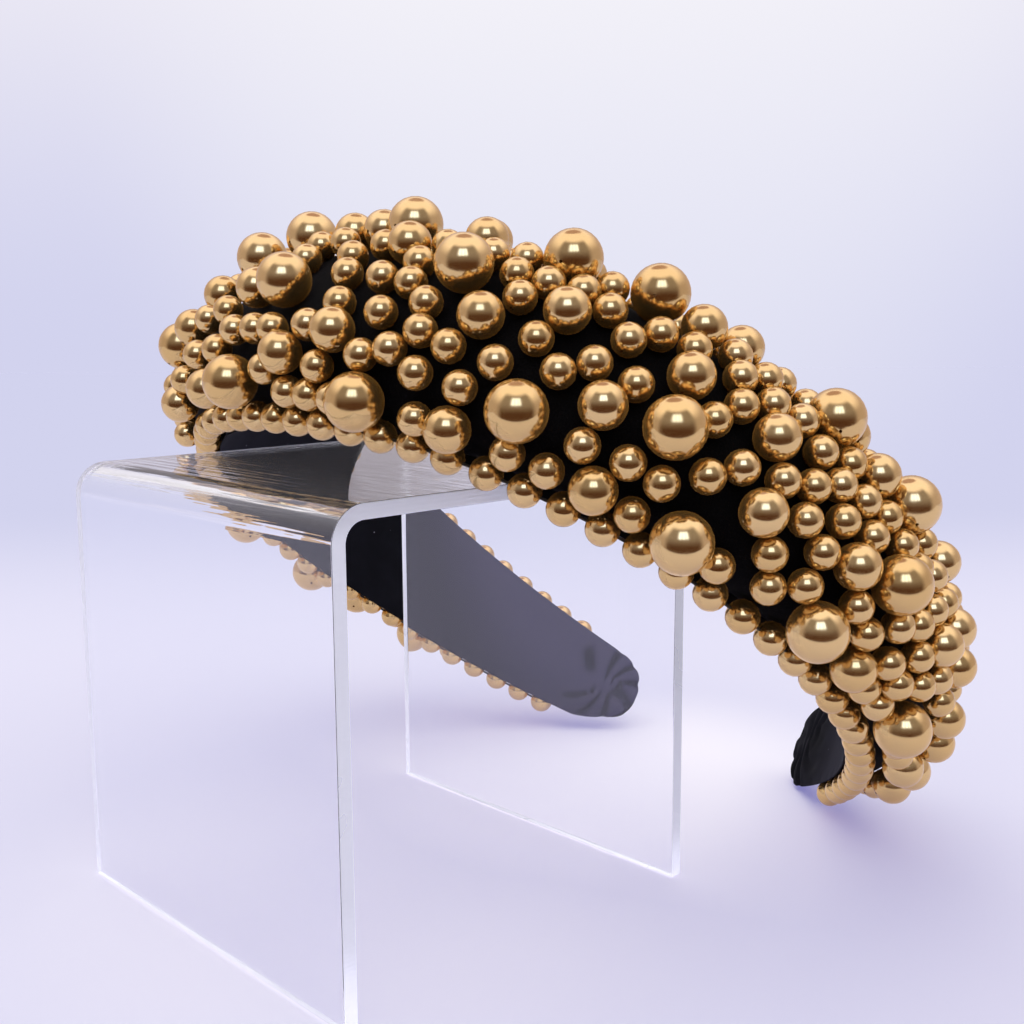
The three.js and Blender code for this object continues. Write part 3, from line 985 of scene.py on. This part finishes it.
def sawn_material(settings):
    """Sawn edge of the clear sheet: the same plastic, hazed by fine saw lines, with a painted glow, as if lit
    through the sheet, that fades towards the top.
    """
    material, tree, shader = new_material(
        "sawn_acrylic_edge", Base_Color=colour(settings.sawn), Emission_Color=colour(settings.sawn),
        IOR=SHEET_IOR, Transmission_Weight=0.5)
    place = object_place(tree)
    bend_span = (RISER_HIGH.z - settings.bend, RISER_HIGH.z)
    glow_span = (settings.edge_glow, TOP_GLOW_SHARE * settings.edge_glow)
    lines = put(tree, "ShaderNodeTexWave", {"bands_direction": "Z"},
                {"Vector": place, "Scale": 380.0, "Distortion": 3.0, "Detail": 2.0}).outputs["Fac"]
    haze = noise(tree, place, scale=90.0, detail=3.0)
    join(shader, Emission_Strength=spread_range(tree, height_of(tree, place), bend_span, glow_span),
         Roughness=spread_range(tree, haze, span=(0.3, 0.7), to=(0.25, 0.45)),
         Normal=bump(tree, lines, strength=0.15, distance=0.0001))
    return material


# Stage

# Level directions ahead of the camera and to its right, and the depths that the camera shows
LEVEL_AHEAD = np.array([math.sin(CAMERA_YAW), math.cos(CAMERA_YAW), 0.0])
LEVEL_RIGHT = np.array([math.cos(CAMERA_YAW), -math.sin(CAMERA_YAW), 0.0])
CAMERA_CLIP = (0.01, 20.0)

# Floor: where it starts and ends before the camera, and where its brightness changes on the way
FLOOR_FRONT = 0.04
FLOOR_REACH = 3.0
FLOOR_DROP = 0.0003
FLOOR_NEAR = (0.20, 0.34)
FLOOR_FAR = (0.42, 0.80)

# Pools of light on the floor, the glow in the middle of the backdrop and the rise over which it lightens
POOL_PLACE = (0.034, 0.006, 0.0)
POOL_REACH = (0.030, 0.095)
RISER_POOL_REACH = (0.030, 0.100)
RISER_POOL_SHARE = 0.6
GLOW_PLACE = (0.069, 0.315)
GLOW_REACH = math.radians(23)
GLOW_SHARE = 0.37
BACKDROP_RISE = (-0.03, 0.45)

# Diffuse light of the studio by the rise of its direction
LAMP_LOW = 0.30
LAMP_HIGH = 1.45
LAMP_RISE = (0.15, 0.80)
LAMP_STEPS = 1000


def camera_axes():
    """Right, up and forward of the camera from its yaw, pitch and roll."""
    forward = LEVEL_AHEAD * math.cos(CAMERA_PITCH) - np.array([0.0, 0.0, math.sin(CAMERA_PITCH)])
    down = np.cross(forward, LEVEL_RIGHT)
    right = math.cos(CAMERA_ROLL) * LEVEL_RIGHT + math.sin(CAMERA_ROLL) * down
    up = math.sin(CAMERA_ROLL) * LEVEL_RIGHT - math.cos(CAMERA_ROLL) * down
    return right, up, forward


def make_camera():
    """Camera at the photograph's place and angle."""
    right, up, forward = camera_axes()
    data = bpy.data.cameras.new("camera")
    data.sensor_width = SENSOR_MM
    data.lens = FOCAL_PIXELS / IMAGE_PIXELS * SENSOR_MM
    data.clip_start, data.clip_end = CAMERA_CLIP
    camera = bpy.data.objects.new("camera", data)
    turn = np.eye(4)
    turn[:3, :3] = np.stack([right, up, -forward], axis=-1)
    turn[:3, 3] = CAMERA_PLACE
    camera.matrix_world = Matrix(turn.tolist())
    bpy.context.scene.collection.objects.link(camera)
    bpy.context.scene.camera = camera


def floor_points():
    """Corners of the floor: a wide sheet square to the camera that starts just before it."""
    foot = np.array([CAMERA_PLACE[0], CAMERA_PLACE[1], -FLOOR_DROP])
    corners = ((FLOOR_FRONT, -FLOOR_REACH), (FLOOR_FRONT, FLOOR_REACH),
               (FLOOR_REACH, FLOOR_REACH), (FLOOR_REACH, -FLOOR_REACH))
    return np.stack([foot + LEVEL_AHEAD * ahead + LEVEL_RIGHT * beside for ahead, beside in corners])


def with_glow(tree, shown, direction):
    """A colour whitened towards the middle of the backdrop, by the angle of its direction from there."""
    right, above, forward = camera_axes()
    middle = forward + GLOW_PLACE[0] * right + GLOW_PLACE[1] * above
    middle /= np.linalg.norm(middle)
    near = measure(tree, "DOT_PRODUCT", direction, middle.tolist())
    glow = spread_range(tree, near, (math.cos(GLOW_REACH), 1.0), (0.0, GLOW_SHARE))
    return blend_colours(tree, glow, shown, WHITE)


def pool_share(tree, middle, reach, share):
    """A share of light on the floor that falls away with the distance from a middle."""
    away = measure(tree, "DISTANCE", object_place(tree), middle)
    return spread_range(tree, away, reach, (share, 0.0))


def lamp_mean():
    """Light that falls on level ground: the lamp's brightness summed over twice the rise of its direction."""
    rise = (np.arange(LAMP_STEPS) + 0.5) / LAMP_STEPS
    lamp = LAMP_LOW + (LAMP_HIGH - LAMP_LOW) * smooth_step(rise, *LAMP_RISE)
    return float((2 * rise * lamp).mean())


def make_floor(settings):
    """Plain pale floor, mostly lit, with a little light of its own that is left in the shadows."""
    mesh = bpy.data.meshes.new("floor")
    mesh.from_pydata(floor_points().tolist(), [], [[0, 1, 2, 3]])
    floor = bpy.data.objects.new("floor", mesh)
    bpy.context.scene.collection.objects.link(floor)
    material, tree, shader = new_material(
        "pale_floor", Roughness=0.9, Specular_IOR_Level=0.0, Emission_Strength=settings.floor_glow)
    offset = put(tree, "ShaderNodeVectorMath", {"operation": "SUBTRACT"},
                 {0: object_place(tree), 1: CAMERA_PLACE.tolist()}).outputs[0]
    direction = put(tree, "ShaderNodeVectorMath", {"operation": "NORMALIZE"}, {0: offset}).outputs[0]
    onward = measure(tree, "DOT_PRODUCT", offset, LEVEL_AHEAD.tolist())
    near = spread_range(tree, onward, FLOOR_NEAR)
    far = spread_range(tree, onward, FLOOR_FAR)
    shown = blend_colours(tree, near, colour(settings.front_floor), colour(settings.floor))
    pool = calculate(tree, "MAXIMUM", pool_share(tree, POOL_PLACE, POOL_REACH, 1.0),
                     pool_share(tree, PLACE.tolist(), RISER_POOL_REACH, RISER_POOL_SHARE))
    shown = blend_colours(tree, pool, shown, colour(settings.pool))
    shown = with_glow(tree, blend_colours(tree, far, shown, colour(settings.low_light)), direction)
    lit = [(1 - settings.floor_glow * tint) / lamp_mean() for tint in settings.shade_tint]
    join(shader, Base_Color=blend_colours(tree, 1.0, shown, colour(lit), "MULTIPLY"),
         Emission_Color=blend_colours(tree, 1.0, shown, colour(settings.shade_tint), "MULTIPLY"))
    mesh.materials.append(material)


# Light tent that the gloss mirrors: walls and roof, a dim hole in the roof, and an open front with the
# room and its window beyond. Rises are angles from the level, and turns are angles from the camera.
ROOF_RISE = (math.radians(18), math.radians(52))
WALLS = (0.56, 0.50, 0.55, 1.0)
ROOF = (1.42, 1.36, 1.50, 1.0)
HOLE_RISE = math.radians(62)
HOLE_SPAN = (math.cos(math.radians(18)), math.cos(math.radians(12)))
HOLE = (0.55, 0.38, 0.40, 1.0)
FRONT_TURN = (math.radians(-66), math.radians(66))
FRONT_SOFT = math.radians(13)
FRONT_TOP = (math.radians(52), math.radians(68))
DUSK_RISE = (math.radians(-8), math.radians(30))
ROOM_LOW = (0.078, 0.027, 0.010, 1.0)
ROOM_HIGH = (0.32, 0.30, 0.34, 1.0)
WINDOW_TURN = (math.radians(-22), math.radians(18))
WINDOW_TURN_SOFT = math.radians(6)
WINDOW_RISE = (math.radians(24), math.radians(50))
WINDOW_RISE_SOFT = math.radians(5)
BAR_WAVE = 26.0
BAR_SPAN = (-0.98, -0.7)
BAR_SHARE = 0.35
PANES = (2.2, 2.8, 4.2, 1.0)


def tent_colour(tree, direction):
    """Light tent that the gloss mirrors: bright roof, pale walls, an open front with a window beyond it."""
    turned = put(tree, "ShaderNodeMapping", {"vector_type": "VECTOR"},
                 {"Vector": direction, "Rotation": (0.0, 0.0, CAMERA_YAW)}).outputs[0]
    side, onward, up = put(tree, "ShaderNodeSeparateXYZ", None, {0: turned}).outputs
    azimuth = calculate(tree, "ARCTAN2", side, calculate(tree, "MULTIPLY", onward, -1.0))
    height = calculate(tree, "ARCSINE", up)
    tent = blend_colours(tree, spread_range(tree, height, ROOF_RISE), WALLS, ROOF)
    near_hole = measure(tree, "DOT_PRODUCT", turned, (0.0, math.cos(HOLE_RISE), math.sin(HOLE_RISE)))
    tent = blend_colours(tree, spread_range(tree, near_hole, HOLE_SPAN), tent, HOLE)
    front = calculate(tree, "MULTIPLY", within(tree, azimuth, FRONT_TURN, FRONT_SOFT),
                      spread_range(tree, height, FRONT_TOP, (1.0, 0.0)))
    room = blend_colours(tree, spread_range(tree, height, DUSK_RISE), ROOM_LOW, ROOM_HIGH)
    window = calculate(tree, "MULTIPLY", within(tree, azimuth, WINDOW_TURN, WINDOW_TURN_SOFT),
                       within(tree, height, WINDOW_RISE, WINDOW_RISE_SOFT))
    bars = calculate(tree, "COSINE", calculate(tree, "MULTIPLY", azimuth, BAR_WAVE))
    panes = calculate(tree, "MULTIPLY", window, spread_range(tree, bars, BAR_SPAN, (BAR_SHARE, 1.0)))
    room = blend_colours(tree, panes, room, PANES)
    return blend_colours(tree, front, tent, room)


def make_light(settings):
    """Soft light from overhead before a pale backdrop; mirrored rays see the light tent."""
    world = bpy.data.worlds.new("soft_studio")
    bpy.context.scene.world = world
    world.use_nodes = True
    tree = world.node_tree
    direction = put(tree, "ShaderNodeTexCoord").outputs["Generated"]
    up = height_of(tree, direction)
    rise = spread_range(tree, up, BACKDROP_RISE)
    soft = blend_colours(tree, rise, colour(settings.low_light), colour(settings.high_light))
    soft = with_glow(tree, soft, direction)
    lamp = spread_range(tree, up, LAMP_RISE, (LAMP_LOW, LAMP_HIGH))
    ray = put(tree, "ShaderNodeLightPath").outputs
    through = calculate(tree, "GREATER_THAN", ray["Is Transmission Ray"], ray["Diffuse Depth"])
    seen = calculate(tree, "MAXIMUM", ray["Is Camera Ray"], through)
    shown = blend_colours(tree, seen, lamp, soft)
    kept = calculate(tree, "SUBTRACT", 1.0, ray["Is Transmission Ray"])
    mirrored = calculate(tree, "MULTIPLY", ray["Is Glossy Ray"], kept)
    light = blend_colours(tree, mirrored, shown, tent_colour(tree, direction))
    join(tree.nodes["Background"], Color=light)
    view = bpy.context.scene.view_settings
    view.view_transform = "Standard"
    view.look = "None"


# Operators

class HeadbandPad(bpy.types.Operator):
    """Build the padded velvet band"""

    bl_idname = "headband.pad"
    bl_label = "Velvet pad"

    def execute(self, context):
        settings = context.scene.headband_cloth
        piece = ring_piece("padded_velvet", *pad_points(settings.bulge, settings.gather))
        finish_piece(piece, velvet_material(settings), "black_velvet", "velvet_pad")
        return {"FINISHED"}


class HeadbandLining(bpy.types.Operator):
    """Build the flat lining"""

    bl_idname = "headband.lining"
    bl_label = "Lining"

    def execute(self, context):
        settings = context.scene.headband_cloth
        piece = ring_piece("flat_lining", *lining_points(settings.gather))
        finish_piece(piece, lining_material(settings), "lining_cloth", "lining")
        return {"FINISHED"}


class HeadbandStrings(bpy.types.Operator):
    """Thread the small beads along both long edges"""

    bl_idname = "headband.strings"
    bl_label = "Edge strings"

    def execute(self, context):
        settings = context.scene.headband_beads
        gold = gold_material(settings)
        thread = thread_material()
        for edge, word in ((-1.0, "front"), (1.0, "back")):
            batch = string_batch(edge, settings)
            beads = bead_piece(f"{word}_string_beads", [batch], settings.seed + int(edge))
            finish_piece(beads, gold, "gold_bead", f"{word}_edge_string")
            finish_piece(ring_piece(f"{word}_string_thread", thread_points(edge)), thread, "gold_bead")
        return {"FINISHED"}


class HeadbandSewnBeads(bpy.types.Operator):
    """Sew the large, medium and small beads over both arms"""

    bl_idname = "headband.sewn_beads"
    bl_label = "Sewn beads"

    def execute(self, context):
        settings = context.scene.headband_beads
        gold = bpy.data.materials["polished_gold"]
        arms = (("near", SEWN_LENGTHS >= 0), ("far", SEWN_LENGTHS < 0))
        for order, (word, chosen) in enumerate(arms):
            larger = sewn_batches("LM", chosen, settings.hole_radius)
            piece = bead_piece(f"{word}_large_beads", larger, settings.seed + LARGE_SEED + order)
            finish_piece(piece, gold, "gold_bead", f"{word}_arm_beads")
            small = sewn_batches("S", chosen, settings.hole_radius)
            piece = bead_piece(f"{word}_small_beads", small, settings.seed + SMALL_SEED + order)
            finish_piece(piece, gold, "gold_bead")
        return {"FINISHED"}


class HeadbandRiser(bpy.types.Operator):
    """Bend the clear riser"""

    bl_idname = "headband.riser"
    bl_label = "Clear riser"

    def execute(self, context):
        settings = context.scene.headband_riser
        points, skin, sawn, count = riser_arrays(settings.sheet, settings.bend)
        piece = make_piece("clear_riser", points, np.concatenate([skin, sawn]), sharp=CORNER_ANGLE)
        finish_piece(piece, acrylic_material(settings), "clear_acrylic", "display_riser")
        piece.data.materials.append(sawn_material(settings))
        is_sawn = np.zeros(len(skin) + len(sawn), np.int32)
        is_sawn[len(skin):] = 1
        is_sawn[[count - 1, 2 * count - 1]] = 1
        piece.data.polygons.foreach_set("material_index", is_sawn)
        piece.visible_shadow = False
        edge = piece.modifiers.new("broken_edges", "BEVEL")
        edge.width = settings.edge_break
        edge.segments = BREAK_SEGMENTS
        edge.limit_method = "ANGLE"
        edge.harden_normals = True
        return {"FINISHED"}


class HeadbandStage(bpy.types.Operator):
    """Set the floor, the light and the camera"""

    bl_idname = "headband.stage"
    bl_label = "Stage"

    def execute(self, context):
        settings = context.scene.headband_stage
        make_floor(settings)
        make_light(settings)
        make_camera()
        return {"FINISHED"}


OPERATORS = (HeadbandPad, HeadbandLining, HeadbandStrings, HeadbandSewnBeads, HeadbandRiser, HeadbandStage)


class HeadbandPanel(bpy.types.Panel):
    """Lists the headband's pieces and their sizes"""

    bl_idname = "VIEW3D_PT_headband"
    bl_label = "Headband"
    bl_space_type = "VIEW_3D"
    bl_region_type = "UI"
    bl_category = "Headband"

    def draw(self, context):
        for operator in OPERATORS:
            self.layout.operator(operator.bl_idname)
        for name in SETTINGS:
            box = self.layout.box()
            group = getattr(context.scene, name)
            for key in group.__annotations__:
                box.prop(group, key)


SETTINGS = {
    "headband_beads": HeadbandBeadSettings,
    "headband_cloth": HeadbandClothSettings,
    "headband_riser": HeadbandRiserSettings,
    "headband_stage": HeadbandStageSettings,
}
CLASSES = (*SETTINGS.values(), *OPERATORS, HeadbandPanel)


def register():
    """Makes the classes and their settings known to Blender."""
    for each in CLASSES:
        bpy.utils.register_class(each)
    for name, group in SETTINGS.items():
        setattr(bpy.types.Scene, name, PointerProperty(type=group))


def unregister():
    """Takes the settings and the classes away again."""
    for name in SETTINGS:
        delattr(bpy.types.Scene, name)
    for each in reversed(CLASSES):
        bpy.utils.unregister_class(each)


def main():
    """Builds every piece in order."""
    register()
    bpy.ops.headband.pad()
    bpy.ops.headband.lining()
    bpy.ops.headband.strings()
    bpy.ops.headband.sewn_beads()
    bpy.ops.headband.riser()
    bpy.ops.headband.stage()


if __name__ == "__main__":
    main()
